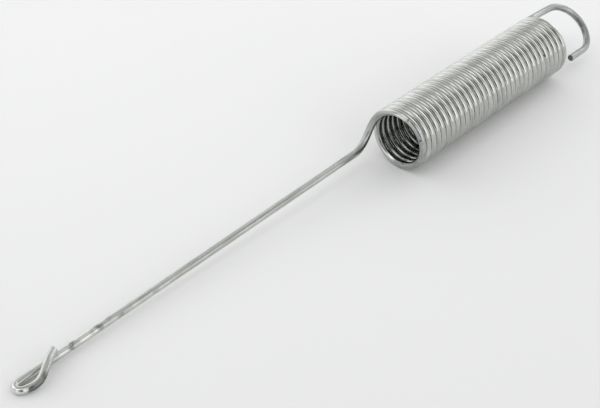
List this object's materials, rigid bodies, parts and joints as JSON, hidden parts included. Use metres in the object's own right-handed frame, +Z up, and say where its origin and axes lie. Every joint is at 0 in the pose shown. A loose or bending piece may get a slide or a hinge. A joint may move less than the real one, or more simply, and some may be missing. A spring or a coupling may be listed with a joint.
{
  "type": "extension spring",
  "caption": "Close-wound steel extension spring with a long straight shank that ends in a narrow closed eye, and a wide open U hook at the other end.",
  "frame": {"origin": "middle of the spring's outline in plan, on the floor it rests on", "axes": "+X along the coil axis from the eye towards the hook, +Z up, +Y towards the side that the shank and eye lie on"},
  "size_m": [0.2124, 0.0194, 0.0183],
  "materials": {
    "spring_wire": "satin drawn wire with a thin bright plating, darker at the sheared ends"
  },
  "bodies": {
    "root": {"spring_wire": "spring_wire"}
  },
  "joints": []
}
